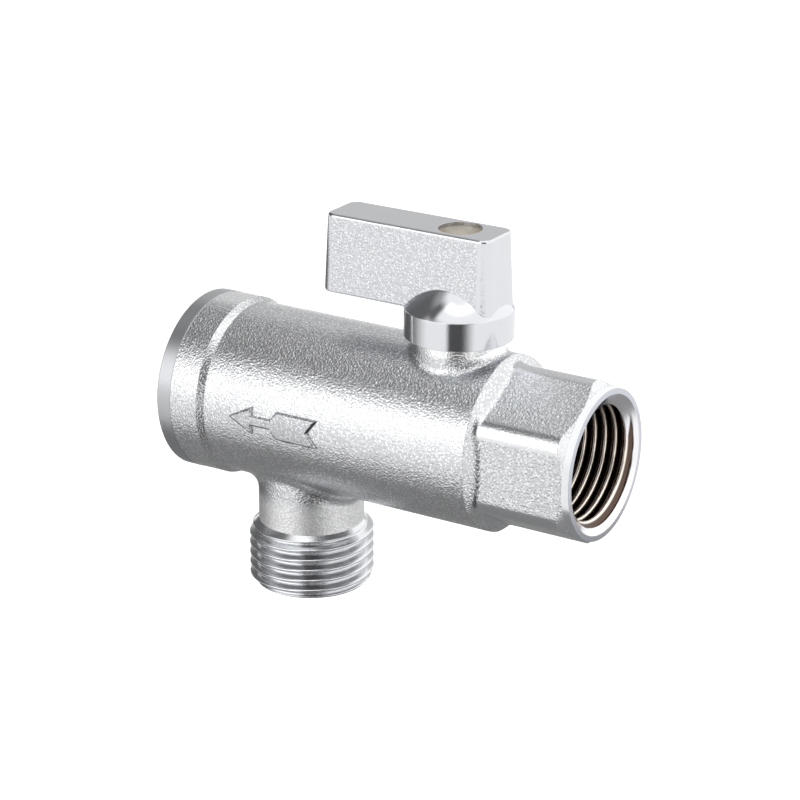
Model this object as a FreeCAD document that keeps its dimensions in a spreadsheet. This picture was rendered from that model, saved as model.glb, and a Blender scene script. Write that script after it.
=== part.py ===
import FreeCAD, Part
import math
import os
import Sketcher
from FreeCAD import Vector

# Quarter-turn isolating ball valve with a side branch, in millimetres.
# Origin: on the inlet's axis where its thread starts, one mouth depth inside the end face.
# +X points out of the inlet, +Z up the stem. The body runs to -X, and the branch to -Z.
# The valve is shown open.

SIZES = [
    # Body outside
    ("body_length", 75.6),
    ("barrel_diameter", 28.7),
    ("ring_diameter", 30.15),
    ("ring_width", 7.9),
    ("ring_slope_length", 1.2),
    ("ring_chamfer", 0.2),
    ("ring_band_width", 2.7),
    ("ring_band_step", 0.05),
    ("shoulder_start", 17.5),
    ("shoulder_slope", 0.75),
    ("shoulder_root_radius", 1.5),
    ("core_inset", 1.2),
    ("hex_across_flats", 24.5),
    ("hex_corner_radius", 6.5),
    ("hex_face_diameter", 24.4),
    ("hex_band_length", 1.3),
    ("hex_chamfer_slope", 0.7),
    # Inlet and outlet threads, G 1/2 and G 3/4 inside, cut at their minor diameters
    ("inlet_minor_diameter", 18.63),
    ("inlet_mouth_diameter", 22.6),
    ("inlet_mouth_depth", 1.3),
    ("inlet_thread_depth", 12.6),
    ("outlet_minor_diameter", 24.12),
    ("outlet_mouth_diameter", 26.5),
    ("outlet_mouth_depth", 0.7),
    ("outlet_thread_depth", 10.5),
    ("port_diameter", 13.0),
    ("passage_diameter", 22.4),
    # Branch, G 1/2 outside
    ("branch_from_outlet", 20.5),
    ("branch_neck_diameter", 17.7),
    ("branch_major_diameter", 20.955),
    ("branch_neck_end", 21.0),
    ("branch_thread_start", 22.6),
    ("branch_end", 32.0),
    ("branch_chamfer", 1.0),
    ("branch_bore_diameter", 14.0),
    ("branch_fillet", 2.6),
    # Ball, seats and the ring that holds them
    ("ball_diameter", 20.0),
    ("ball_edge", 0.4),
    ("chamber_clearance", 0.3),
    ("seat_clearance", 0.05),
    ("seat_outer_diameter", 17.6),
    ("seat_back", 9.1),
    ("seat_lip", 5.8),
    ("seat_pocket_clearance", 0.05),
    ("seat_pocket_lip", 0.2),
    ("retainer_diameter", 22.0),
    ("retainer_clearance", 0.04),
    ("retainer_shoulder", 6.2),
    ("retainer_length", 8.0),
    ("retainer_hex", 14.0),
    ("retainer_hex_depth", 3.5),
    # Stem boss, neck and the stop lug on it. The boss stands just clear of the shoulder.
    ("boss_diameter", 14.8),
    ("boss_height", 1.95),
    ("boss_fillet", 1.6),
    ("boss_clearance", 0.2),
    ("neck_diameter", 11.8),
    ("neck_height", 3.7),
    ("lug_reach", 7.0),
    ("lug_half_angle", 11.0),
    ("lug_direction", 20.0),
    ("lug_height", 2.2),
    # Stem
    ("stem_diameter", 7.8),
    ("stem_clearance", 0.05),
    ("flange_diameter", 11.2),
    ("flange_thickness", 1.6),
    ("flange_gap", 0.6),
    ("thrust_washer_thickness", 0.95),
    ("thrust_gap", 0.05),
    ("flange_recess_clearance", 0.3),
    ("tang_width", 3.9),
    ("tang_length", 9.6),
    ("tang_side_clearance", 0.1),
    ("tang_end_clearance", 0.3),
    ("tang_depth", 2.3),
    ("ring_groove_depth", 0.95),
    ("ring_groove_width", 1.3),
    ("lower_ring_depth", 5.0),
    ("upper_ring_depth", 2.4),
    ("ring_section_clearance", 0.02),
    ("stem_shoulder_height", 0.3),
    ("square_size", 5.5),
    ("square_clearance", 0.05),
    ("square_length", 6.7),
    ("square_chamfer", 0.4),
    # Handle
    ("skirt_diameter", 17.65),
    ("skirt_gap", 0.35),
    ("skirt_height", 4.55),
    ("skirt_bore_clearance", 0.25),
    ("dome_top_diameter", 7.0),
    ("dome_height", 4.5),
    ("dome_bulge_radius", 14.0),
    ("handle_height", 17.4),
    ("handle_underside_height", 4.4),
    ("handle_reach", 22.6),
    ("handle_heel", 7.3),
    ("handle_thickness", 8.6),
    ("handle_draft", 0.45),
    ("handle_corner_radius", 1.7),
    ("handle_rim_radius", 0.5),
    ("stop_clearance_angle", 1.0),
    ("stop_clearance", 0.25),
    ("quarter_turn", 90.0),
    ("socket_end_clearance", 0.3),
    ("screw_web", 1.7),
    ("counterbore_diameter", 7.0),
    # Handle screw, M3 by 8 pan head, and its spring washer
    ("screw_diameter", 3.0),
    ("screw_length", 8.0),
    ("screw_clearance", 0.2),
    ("tap_clearance", 0.05),
    ("screw_hole_depth", 6.5),
    ("head_diameter", 5.6),
    ("head_height", 2.4),
    ("head_dome_radius", 5.0),
    ("head_side", 1.5),
    ("recess_width", 0.8),
    ("recess_span", 2.8),
    ("recess_depth", 1.3),
    ("washer_inner_diameter", 3.1),
    ("washer_outer_diameter", 6.2),
    ("washer_thickness", 0.8),
    ("washer_split", 0.7),
    # Flow arrow, a plain relief on the front of the barrel, pointing to the outlet
    ("arrow_from_outlet", 14.2),
    ("arrow_head_length", 4.5),
    ("arrow_shaft_length", 8.1),
    ("arrow_tail_start", 9.2),
    ("arrow_length", 17.0),
    ("arrow_notch", 1.8),
    ("arrow_half_width", 2.35),
    ("arrow_shaft_half_width", 0.85),
    ("arrow_height", 0.4),
    ("arrow_relief", 0.55),
    ("arrow_edge_radius", 0.4),
]

doc = FreeCAD.newDocument("isolating_valve")
sheet = doc.addObject("Spreadsheet::Sheet", "Sizes")
for row, (alias, size) in enumerate(SIZES, start=1):
    sheet.set(f"A{row}", alias)
    sheet.set(f"B{row}", str(size))
    sheet.setAlias(f"B{row}", alias)
doc.recompute()


# Helpers for sketches and features

FULL_TURN = 360.0
BEYOND = 2.0


def number(expression):
    """Value of an expression in the sheet's aliases."""
    return float(doc.getObject("Sizes").evalExpression(expression))


def new_body(name):
    body = doc.addObject("PartDesign::Body", name)
    body.Label = name
    return body


def new_sketch(body, name, role, along="0", side="0"):
    """Sketch on an origin plane, moved along the plane's normal and along its first axis."""
    plane = next(item for item in body.Origin.OriginFeatures if item.Role == role)
    sketch = body.newObject("Sketcher::SketchObject", name)
    sketch.AttachmentSupport = [(plane, "")]
    sketch.MapMode = "FlatFace"
    sketch.setExpression(".AttachmentOffset.Base.z", along)
    sketch.setExpression(".AttachmentOffset.Base.x", side)
    return sketch


def bind(sketch, kind, *geometry_and_expression):
    """Dimension whose value follows an expression."""
    *geometry, expression = geometry_and_expression
    index = sketch.addConstraint(Sketcher.Constraint(kind, *geometry, number(expression)))
    sketch.setExpression(f"Constraints[{index}]", expression)


def arc_edge(start, end, radius, side):
    """Arc between two points. side is +1 or -1: which side of the chord holds the centre."""
    chord = end.sub(start)
    middle = (start + end) * 0.5
    normal = Vector(-chord.y, chord.x, 0).normalize()
    height = math.sqrt(max(radius ** 2 - chord.Length ** 2 / 4, 0))
    centre = middle + normal * (height * side)
    first = math.atan2(start.y - centre.y, start.x - centre.x)
    last = math.atan2(end.y - centre.y, end.x - centre.x)
    if side < 0:
        first, last = last, first
    circle = Part.Circle(centre, Vector(0, 0, 1), radius)
    return Part.ArcOfCircle(circle, first, last if last > first else last + 2 * math.pi)


def outline(sketch, points, arcs=None):
    """Closed outline. points are pairs of expressions; arcs maps the number of the edge that
    leaves a point to the expression of its radius and the side of its centre."""
    arcs = arcs or {}
    corners = [Vector(number(first), number(second), 0) for first, second in points]
    base = sketch.GeometryCount
    ends = []
    for index, corner in enumerate(corners):
        following = corners[(index + 1) % len(corners)]
        if index in arcs:
            radius, side = arcs[index]
            sketch.addGeometry(arc_edge(corner, following, number(radius), side))
            ends.append((1, 2) if side > 0 else (2, 1))
        else:
            sketch.addGeometry(Part.LineSegment(corner, following))
            ends.append((1, 2))
    for index in range(len(corners)):
        following = (index + 1) % len(corners)
        sketch.addConstraint(Sketcher.Constraint(
            "Coincident", base + index, ends[index][1], base + following, ends[following][0]))
    for index, (first, second) in enumerate(points):
        bind(sketch, "DistanceX", -1, 1, base + index, ends[index][0], first)
        bind(sketch, "DistanceY", -1, 1, base + index, ends[index][0], second)
    for index, (radius, side) in arcs.items():
        bind(sketch, "Radius", base + index, radius)
    return sketch


def circle(sketch, radius, across="0", upward="0"):
    """Circle whose centre and radius follow expressions."""
    index = sketch.addGeometry(Part.Circle(
        Vector(number(across), number(upward), 0), Vector(0, 0, 1), number(radius)))
    bind(sketch, "Radius", index, radius)
    bind(sketch, "DistanceX", -1, 1, index, 3, across)
    bind(sketch, "DistanceY", -1, 1, index, 3, upward)
    return sketch


def rectangle(sketch, left, right, low, high):
    return outline(sketch, [(left, low), (right, low), (right, high), (left, high)])


def turned(body, kind, name, sketch, axis):
    """Revolution or Groove of a sketch by a full turn."""
    feature = body.newObject(f"PartDesign::{kind}", name)
    feature.Profile = sketch
    feature.ReferenceAxis = (sketch, [axis])
    feature.Angle = FULL_TURN
    return feature


def extruded(body, kind, name, sketch, length, reverse=False):
    """Pad or Pocket of a sketch, over a length that follows an expression."""
    feature = body.newObject(f"PartDesign::{kind}", name)
    feature.Profile = sketch
    feature.setExpression("Length", length)
    feature.Reversed = reverse
    return feature


def rounded(body, kind, name, base, picks, expression):
    """Fillet or Chamfer of the picked edges of the feature before it."""
    doc.recompute()
    names = [f"Edge{index}" for index, edge in enumerate(base.Shape.Edges, start=1) if picks(edge)]
    feature = body.newObject(f"PartDesign::{kind}", name)
    feature.Base = (base, names)
    feature.setExpression("Radius" if kind == "Fillet" else "Size", expression)
    return feature


def place(body, x="0", z="0"):
    """Placement of a sub-part: x from the end face of the hexagon, z from the axis."""
    body.setExpression(".Placement.Base.x", f"{MOUTH} + {x}")
    body.setExpression(".Placement.Base.z", z)


# Places along the body are from the end face of the hexagon, and heights from the axis

MOUTH = "Sizes.inlet_mouth_depth"
STEM = "-(Sizes.shoulder_start + Sizes.boss_clearance + Sizes.boss_fillet + Sizes.boss_diameter / 2)"
BRANCH = "-(Sizes.body_length - Sizes.branch_from_outlet)"
BALL = "Sizes.ball_diameter / 2"
BARREL = "Sizes.barrel_diameter / 2"
BOSS_TOP = f"{BARREL} + Sizes.boss_height"
NECK_TOP = f"{BOSS_TOP} + Sizes.neck_height"
STEM_SHOULDER = f"{NECK_TOP} + Sizes.stem_shoulder_height"
SQUARE_TOP = f"{STEM_SHOULDER} + Sizes.square_length"
SOCKET_TOP = f"{SQUARE_TOP} + Sizes.socket_end_clearance"
HEAD_SEAT = f"{SOCKET_TOP} + Sizes.screw_web"
SKIRT_BOTTOM = f"{BOSS_TOP} + Sizes.skirt_gap"
SKIRT_TOP = f"{SKIRT_BOTTOM} + Sizes.skirt_height"
DOME_TOP = f"{SKIRT_TOP} + Sizes.dome_height"
HANDLE_TOP = f"{SKIRT_BOTTOM} + Sizes.handle_height"
HANDLE_UNDERSIDE = f"{SKIRT_BOTTOM} + Sizes.handle_underside_height"
FLANGE_BOTTOM = "Sizes.ball_diameter / 2 + Sizes.flange_gap"
FLANGE_TOP = f"{FLANGE_BOTTOM} + Sizes.flange_thickness"
RECESS_TOP = f"{FLANGE_TOP} + Sizes.thrust_washer_thickness + Sizes.thrust_gap"
STEM_BORE = "Sizes.stem_diameter / 2 + Sizes.stem_clearance"
LOWER_RING = f"{NECK_TOP} - Sizes.lower_ring_depth"
UPPER_RING = f"{NECK_TOP} - Sizes.upper_ring_depth"


# Body, one forging: hexagonal inlet, barrel, end ring, stem boss, branch and flow arrow


def hexagon_points():
    """Corners of the rounded hexagon, a corner up and down: ends of each flat in turn."""
    points = []
    flat_half = "(Sizes.hex_across_flats / 2 - Sizes.hex_corner_radius) * tan(30)"
    for turn in range(0, 360, 60):
        for sign in ("-", "+"):
            across = f"Sizes.hex_across_flats / 2 * cos({turn}) - ({sign}{flat_half}) * sin({turn})"
            upward = f"Sizes.hex_across_flats / 2 * sin({turn}) + ({sign}{flat_half}) * cos({turn})"
            points.append((across, upward))
    return points


def add_barrel(body):
    core = "(Sizes.hex_across_flats / 2 - Sizes.core_inset)"
    core_end = f"-Sizes.shoulder_start + Sizes.shoulder_slope * ({BARREL} - {core})"
    band = "Sizes.ring_diameter / 2"
    ring = f"{band} - Sizes.ring_band_step"
    band_end = "-Sizes.body_length + Sizes.ring_band_width"
    ring_end = "-Sizes.body_length + Sizes.ring_width"
    sketch = new_sketch(body, "barrel_profile", "XZ_Plane")
    outline(sketch, [
        ("-Sizes.body_length", "0"),
        (core_end, "0"),
        (core_end, core),
        ("-Sizes.shoulder_start", BARREL),
        (f"{ring_end} + Sizes.ring_slope_length", BARREL),
        (ring_end, ring),
        (band_end, ring),
        (band_end, band),
        ("-Sizes.body_length + Sizes.ring_chamfer", band),
        ("-Sizes.body_length", f"{band} - Sizes.ring_chamfer"),
    ])
    return turned(body, "Revolution", "barrel", sketch, "H_Axis")


def add_arrow(body):
    """Feathered arrow, cut out of a block and then turned down to a thin relief."""
    middle = "Sizes.arrow_height"
    top = f"{middle} + Sizes.arrow_half_width"
    bottom = f"{middle} - Sizes.arrow_half_width"
    shaft_top = f"{middle} + Sizes.arrow_shaft_half_width"
    shaft_bottom = f"{middle} - Sizes.arrow_shaft_half_width"
    tip = "-(Sizes.body_length - Sizes.arrow_from_outlet)"
    head_end = f"{tip} + Sizes.arrow_head_length"
    shaft_end = f"{tip} + Sizes.arrow_shaft_length"
    tail_start = f"{tip} + Sizes.arrow_tail_start"
    tail_end = f"{tip} + Sizes.arrow_length"
    sketch = new_sketch(body, "arrow_profile", "XZ_Plane")
    outline(sketch, [
        (tip, middle),
        (head_end, bottom),
        (head_end, shaft_bottom),
        (shaft_end, shaft_bottom),
        (tail_start, bottom),
        (tail_end, bottom),
        (f"{tail_end} - Sizes.arrow_notch", middle),
        (tail_end, top),
        (tail_start, top),
        (shaft_end, shaft_top),
        (head_end, shaft_top),
        (head_end, top),
    ])
    extruded(body, "Pad", "arrow", sketch, f"{BARREL} + Sizes.arrow_relief + {BEYOND}")
    trim = new_sketch(body, "arrow_trim_profile", "XZ_Plane")
    rectangle(
        trim,
        f"{tip} - {BEYOND}",
        f"{tail_end} + {BEYOND}",
        f"{BARREL} + Sizes.arrow_relief",
        f"{BARREL} + Sizes.arrow_relief + 2 * {BEYOND}",
    )
    trimmed = turned(body, "Groove", "arrow_trim", trim, "H_Axis")
    top_radius = number(f"{BARREL} + Sizes.arrow_relief")

    def on_top(edge):
        points = [vertex.Point for vertex in edge.Vertexes]
        return all(abs(math.hypot(point.y, point.z) - top_radius) < 0.001 for point in points)

    return rounded(body, "Fillet", "arrow_edges", trimmed, on_top, "Sizes.arrow_edge_radius")


def add_hexagon(body):
    sketch = new_sketch(body, "hexagon_profile", "YZ_Plane")
    corners = {index: ("Sizes.hex_corner_radius", 1) for index in range(1, 12, 2)}
    outline(sketch, hexagon_points(), corners)
    extruded(body, "Pad", "hexagon", sketch, "Sizes.shoulder_start", reverse=True)
    face = "Sizes.hex_face_diameter / 2"
    reach = "(Sizes.hex_across_flats - Sizes.hex_face_diameter) / 2 + Sizes.hex_corner_radius"
    band = new_sketch(body, "hexagon_band_profile", "XZ_Plane")
    outline(band, [
        ("0", face),
        ("0", f"{face} + {reach}"),
        (f"-Sizes.hex_band_length - Sizes.hex_chamfer_slope * ({reach})", f"{face} + {reach}"),
        ("-Sizes.hex_band_length", face),
    ])
    return turned(body, "Groove", "hexagon_band", band, "H_Axis")


def joins_shoulder(edge):
    """Picks the edges where the cone of the shoulder meets the hexagon."""
    shoulder = "(-Sizes.shoulder_start)"
    for parameter in (0.0, 0.5, 1.0):
        span = edge.LastParameter - edge.FirstParameter
        point = edge.valueAt(edge.FirstParameter + parameter * span)
        radius = math.hypot(point.y, point.z)
        along = number(shoulder) + number("Sizes.shoulder_slope") * (number(BARREL) - radius)
        if abs(point.x - along) > 0.01 or radius > number(BARREL) - 0.1:
            return False
    return True


def add_branch(body):
    neck = "Sizes.branch_neck_diameter / 2"
    thread = "Sizes.branch_major_diameter / 2"
    sketch = new_sketch(body, "branch_profile", "XZ_Plane", side=BRANCH)
    outline(sketch, [
        ("0", "0"),
        ("0", "-Sizes.branch_end"),
        (f"{thread} - Sizes.branch_chamfer", "-Sizes.branch_end"),
        (thread, "-Sizes.branch_end + Sizes.branch_chamfer"),
        (thread, "-Sizes.branch_thread_start"),
        (neck, "-Sizes.branch_neck_end"),
        (neck, "0"),
    ])
    return turned(body, "Revolution", "branch", sketch, "V_Axis")


def add_boss(body):
    sketch = new_sketch(body, "boss_profile", "XY_Plane", side=STEM)
    circle(sketch, "Sizes.boss_diameter / 2")
    return extruded(body, "Pad", "boss", sketch, BOSS_TOP)


def joins_barrel(position, radius):
    """Picks the edge where an upright cylinder of the body meets the barrel."""
    def pick(edge):
        if isinstance(edge.Curve, Part.Line):
            return False
        for parameter in (0.13, 0.37, 0.61, 0.89):
            span = edge.LastParameter - edge.FirstParameter
            point = edge.valueAt(edge.FirstParameter + parameter * span)
            off_barrel = math.hypot(point.y, point.z) - number(BARREL)
            off_cylinder = math.hypot(point.x - number(position), point.y) - number(radius)
            if abs(off_barrel) > 0.01 or abs(off_cylinder) > 0.01:
                return False
        return True
    return pick


def add_neck_and_lug(body):
    neck = new_sketch(body, "neck_profile", "XY_Plane", side=STEM)
    circle(neck, "Sizes.neck_diameter / 2")
    extruded(body, "Pad", "neck", neck, NECK_TOP)
    lug = new_sketch(body, "lug_profile", "XY_Plane", along=BOSS_TOP, side=STEM)
    sector(lug, "Sizes.neck_diameter / 2 - 0.4", "Sizes.lug_reach",
           "Sizes.lug_direction - Sizes.lug_half_angle", "Sizes.lug_direction + Sizes.lug_half_angle")
    return extruded(body, "Pad", "stop_lug", lug, "Sizes.lug_height")


def sector(sketch, inner, outer, first, last):
    """Ring sector between two radii and two directions."""
    points = [(f"({inner}) * cos({first})", f"({inner}) * sin({first})"),
              (f"({outer}) * cos({first})", f"({outer}) * sin({first})"),
              (f"({outer}) * cos({last})", f"({outer}) * sin({last})"),
              (f"({inner}) * cos({last})", f"({inner}) * sin({last})")]
    return outline(sketch, points, {1: (outer, 1), 3: (inner, -1)})


def cut_bores(body):
    """Stepped bore along the body: thread, port, seat pocket, chamber, retainer, passage, thread."""
    inlet = "Sizes.inlet_minor_diameter / 2"
    inlet_mouth = "Sizes.inlet_mouth_diameter / 2"
    port = "Sizes.port_diameter / 2"
    pocket = "Sizes.seat_outer_diameter / 2 + Sizes.seat_pocket_clearance"
    pocket_floor = f"{STEM} + Sizes.seat_back"
    pocket_lip = f"{STEM} + Sizes.seat_lip - Sizes.seat_pocket_lip"
    chamber = f"{BALL} + Sizes.chamber_clearance"
    retainer = "Sizes.retainer_diameter / 2"
    retainer_start = f"{STEM} - Sizes.retainer_shoulder"
    retainer_end = f"{retainer_start} - Sizes.retainer_length"
    passage = "Sizes.passage_diameter / 2"
    outlet = "Sizes.outlet_minor_diameter / 2"
    outlet_mouth = "Sizes.outlet_mouth_diameter / 2"
    thread_end = "-Sizes.body_length + Sizes.outlet_thread_depth"
    sketch = new_sketch(body, "bore_profile", "XZ_Plane")
    outline(sketch, [
        ("0", "0"),
        ("0", inlet_mouth),
        (f"-{MOUTH}", inlet),
        ("-Sizes.inlet_thread_depth", inlet),
        ("-Sizes.inlet_thread_depth", port),
        (pocket_floor, port),
        (pocket_floor, pocket),
        (pocket_lip, pocket),
        (pocket_lip, chamber),
        (retainer_start, chamber),
        (retainer_start, retainer),
        (retainer_end, retainer),
        (retainer_end, passage),
        (thread_end, passage),
        (thread_end, outlet),
        ("-Sizes.body_length + Sizes.outlet_mouth_depth", outlet),
        ("-Sizes.body_length", outlet_mouth),
        ("-Sizes.body_length", "0"),
    ])
    turned(body, "Groove", "bores", sketch, "H_Axis")
    branch = new_sketch(body, "branch_bore_profile", "XY_Plane", side=BRANCH)
    circle(branch, "Sizes.branch_bore_diameter / 2")
    extruded(body, "Pocket", "branch_bore", branch, f"Sizes.branch_end + {BEYOND}")
    recess = new_sketch(body, "flange_recess_profile", "XY_Plane", side=STEM)
    circle(recess, "Sizes.flange_diameter / 2 + Sizes.flange_recess_clearance")
    extruded(body, "Pocket", "flange_recess", recess, RECESS_TOP, reverse=True)
    stem = new_sketch(body, "stem_bore_profile", "XY_Plane", side=STEM)
    circle(stem, STEM_BORE)
    return extruded(body, "Pocket", "stem_bore", stem, f"{NECK_TOP} + {BEYOND}", reverse=True)


def make_valve_body():
    body = new_body("valve_body")
    add_barrel(body)
    add_arrow(body)
    hexagon = add_hexagon(body)
    rounded(body, "Fillet", "shoulder_root", hexagon, joins_shoulder, "Sizes.shoulder_root_radius")
    branch = add_branch(body)
    branch_edge = joins_barrel(BRANCH, "Sizes.branch_neck_diameter / 2")
    rounded(body, "Fillet", "branch_root", branch, branch_edge, "Sizes.branch_fillet")
    boss = add_boss(body)
    boss_edge = joins_barrel(STEM, "Sizes.boss_diameter / 2")
    rounded(body, "Fillet", "boss_root", boss, boss_edge, "Sizes.boss_fillet")
    add_neck_and_lug(body)
    cut_bores(body)
    place(body)
    return body


# Ball with its port and the slot that the stem's tang turns


def make_ball():
    body = new_body("ball")
    sphere = body.newObject("PartDesign::AdditiveSphere", "sphere")
    sphere.setExpression("Radius", BALL)
    port = new_sketch(body, "port_profile", "YZ_Plane")
    circle(port, "Sizes.port_diameter / 2")
    cut = extruded(body, "Pocket", "port", port, "Sizes.ball_diameter + 1")
    cut.Midplane = True
    slot = new_sketch(body, "slot_profile", "XY_Plane", along=f"{BALL} + 1")
    half = "Sizes.tang_width / 2 + Sizes.tang_side_clearance"
    rectangle(slot, f"-({half})", half, f"-({BALL}) - 1", f"{BALL} + 1")
    cut_depth = "Sizes.tang_depth + Sizes.tang_end_clearance + 1"
    slot_cut = extruded(body, "Pocket", "slot", slot, cut_depth)
    port_radius = number("Sizes.port_diameter / 2")

    def at_port(edge):
        if edge.Degenerated or not isinstance(edge.Curve, Part.Circle):
            return False
        return abs(edge.Curve.Radius - port_radius) < 0.01 and abs(edge.Curve.Axis.x) > 0.9

    rounded(body, "Chamfer", "port_edges", slot_cut, at_port, "Sizes.ball_edge")
    place(body, x=STEM)
    return body


# Seats, two alike rings, one each side of the ball


def make_seat(name, side):
    body = new_body(name)
    near = f"{side} * Sizes.seat_lip"
    far = f"{side} * Sizes.seat_back"
    profile = new_sketch(body, f"{name}_profile", "XZ_Plane")
    rectangle(profile, near, far, "Sizes.port_diameter / 2", "Sizes.seat_outer_diameter / 2")
    turned(body, "Revolution", f"{name}_ring", profile, "H_Axis")
    ball_space = body.newObject("PartDesign::SubtractiveSphere", f"{name}_face")
    ball_space.setExpression("Radius", f"{BALL} + Sizes.seat_clearance")
    place(body, x=STEM)
    return body


def make_seat_retainer():
    """Threaded ring that closes the chamber, with a recess for the seat and a hexagon socket."""
    body = new_body("seat_retainer")
    outer = "Sizes.retainer_diameter / 2 - Sizes.retainer_clearance"
    recess = "Sizes.seat_outer_diameter / 2 + Sizes.seat_pocket_clearance"
    port = "Sizes.port_diameter / 2"
    far = "-Sizes.retainer_shoulder - Sizes.retainer_length"
    edge = "Sizes.ball_edge"
    profile = new_sketch(body, "retainer_profile", "XZ_Plane")
    outline(profile, [
        ("-Sizes.retainer_shoulder", recess),
        ("-Sizes.retainer_shoulder", f"{outer} - {edge}"),
        (f"-Sizes.retainer_shoulder - {edge}", outer),
        (f"{far} + {edge}", outer),
        (far, f"{outer} - {edge}"),
        (far, port),
        ("-Sizes.seat_back", port),
        ("-Sizes.seat_back", recess),
    ])
    turned(body, "Revolution", "retainer_ring", profile, "H_Axis")
    socket = new_sketch(body, "socket_profile", "YZ_Plane", along=far)
    corners = []
    for turn in range(0, 360, 60):
        corner = "Sizes.retainer_hex / 2 / cos(30)"
        corners.append((f"{corner} * cos({turn})", f"{corner} * sin({turn})"))
    outline(socket, corners)
    extruded(body, "Pocket", "hexagon_socket", socket, "Sizes.retainer_hex_depth", reverse=True)
    place(body, x=STEM)
    return body


# Stem, its washer and its two rings


def make_stem():
    body = new_body("stem")
    shank = "Sizes.stem_diameter / 2"
    groove = "Sizes.stem_diameter / 2 - Sizes.ring_groove_depth"
    half = "Sizes.ring_groove_width / 2"
    flange = "Sizes.flange_diameter / 2"
    profile = new_sketch(body, "stem_profile", "XZ_Plane")
    points = [("0", FLANGE_BOTTOM), (flange, FLANGE_BOTTOM), (flange, FLANGE_TOP), (shank, FLANGE_TOP)]
    for height in (LOWER_RING, UPPER_RING):
        points += [(shank, f"{height} - {half}"), (groove, f"{height} - {half}"),
                   (groove, f"{height} + {half}"), (shank, f"{height} + {half}")]
    points += [(shank, STEM_SHOULDER), ("0", STEM_SHOULDER)]
    outline(profile, points)
    turned(body, "Revolution", "shank", profile, "V_Axis")
    tang = new_sketch(body, "tang_profile", "XY_Plane", along=f"{BALL} - Sizes.tang_depth")
    rectangle(tang, "-Sizes.tang_width / 2", "Sizes.tang_width / 2",
              "-Sizes.tang_length / 2", "Sizes.tang_length / 2")
    extruded(body, "Pad", "tang", tang, "Sizes.tang_depth + Sizes.flange_gap + Sizes.flange_thickness / 2")
    square = new_sketch(body, "square_profile", "XY_Plane", along=f"{STEM_SHOULDER} - {BEYOND}")
    side = "Sizes.square_size / 2"
    rectangle(square, f"-{side}", side, f"-{side}", side)
    pad = extruded(body, "Pad", "square", square, f"Sizes.square_length + {BEYOND}")
    top = number(SQUARE_TOP)

    def on_top(edge):
        return all(abs(vertex.Z - top) < 0.001 for vertex in edge.Vertexes)

    rounded(body, "Chamfer", "square_lead", pad, on_top, "Sizes.square_chamfer")
    hole = new_sketch(body, "screw_hole_profile", "XY_Plane", along=SQUARE_TOP)
    circle(hole, "Sizes.screw_diameter / 2 + Sizes.tap_clearance")
    extruded(body, "Pocket", "screw_hole", hole, "Sizes.screw_hole_depth")
    place(body, x=STEM)
    return body


def make_thrust_washer():
    body = new_body("stem_thrust_washer")
    profile = new_sketch(body, "thrust_washer_profile", "XZ_Plane")
    rectangle(profile, STEM_BORE, "Sizes.flange_diameter / 2",
              FLANGE_TOP, f"{FLANGE_TOP} + Sizes.thrust_washer_thickness")
    turned(body, "Revolution", "thrust_washer", profile, "V_Axis")
    place(body, x=STEM)
    return body


def make_stem_ring(name, height):
    """Ring that fills its groove up to the bore, with a small clearance all round."""
    body = new_body(name)
    section = "(Sizes.ring_groove_depth + Sizes.stem_clearance) / 2 - Sizes.ring_section_clearance"
    centre = "Sizes.stem_diameter / 2 - Sizes.ring_groove_depth / 2 + Sizes.stem_clearance / 2"
    torus = body.newObject("PartDesign::AdditiveTorus", f"{name}_torus")
    torus.setExpression("Radius1", centre)
    torus.setExpression("Radius2", section)
    place(body, x=STEM, z=height)
    return body


# Handle, one casting: bar, dome, skirt, square socket and stop groove


def add_handle_block(body):
    """Bar with drafted sides, lofted from its top outline to the wider one at its underside."""
    sections = []
    for label, height, grow in (("top", HANDLE_TOP, "0"),
                                ("underside", HANDLE_UNDERSIDE, "Sizes.handle_draft")):
        sketch = new_sketch(body, f"bar_{label}_profile", "XY_Plane", along=height)
        rectangle(sketch, f"-Sizes.handle_reach - {grow}", f"Sizes.handle_heel + {grow}",
                  f"-Sizes.handle_thickness / 2 - {grow}", f"Sizes.handle_thickness / 2 + {grow}")
        sections.append(sketch)
    loft = body.newObject("PartDesign::AdditiveLoft", "bar")
    loft.Profile = sections[0]
    loft.Sections = sections[1:]
    loft.Ruled = True

    def upright(edge):
        first, last = edge.Vertexes[0].Point, edge.Vertexes[-1].Point
        return abs(first.z - last.z) > 1

    corners = rounded(body, "Fillet", "bar_corners", loft, upright, "Sizes.handle_corner_radius")
    heights = (number(HANDLE_TOP), number(HANDLE_UNDERSIDE))

    def level(edge):
        return any(all(abs(vertex.Z - height) < 0.001 for vertex in edge.Vertexes) for height in heights)

    return rounded(body, "Fillet", "bar_rims", corners, level, "Sizes.handle_rim_radius")


def add_skirt(body):
    """Round skirt round the stem, with a low dome that runs up into the bar."""
    profile = new_sketch(body, "skirt_profile", "XZ_Plane")
    skirt = "Sizes.skirt_diameter / 2"
    dome = "Sizes.dome_top_diameter / 2"
    outline(profile, [
        ("0", SKIRT_BOTTOM),
        (skirt, SKIRT_BOTTOM),
        (skirt, SKIRT_TOP),
        (dome, DOME_TOP),
        ("0", DOME_TOP),
    ], {2: ("Sizes.dome_bulge_radius", 1)})
    return turned(body, "Revolution", "skirt", profile, "V_Axis")


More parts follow.
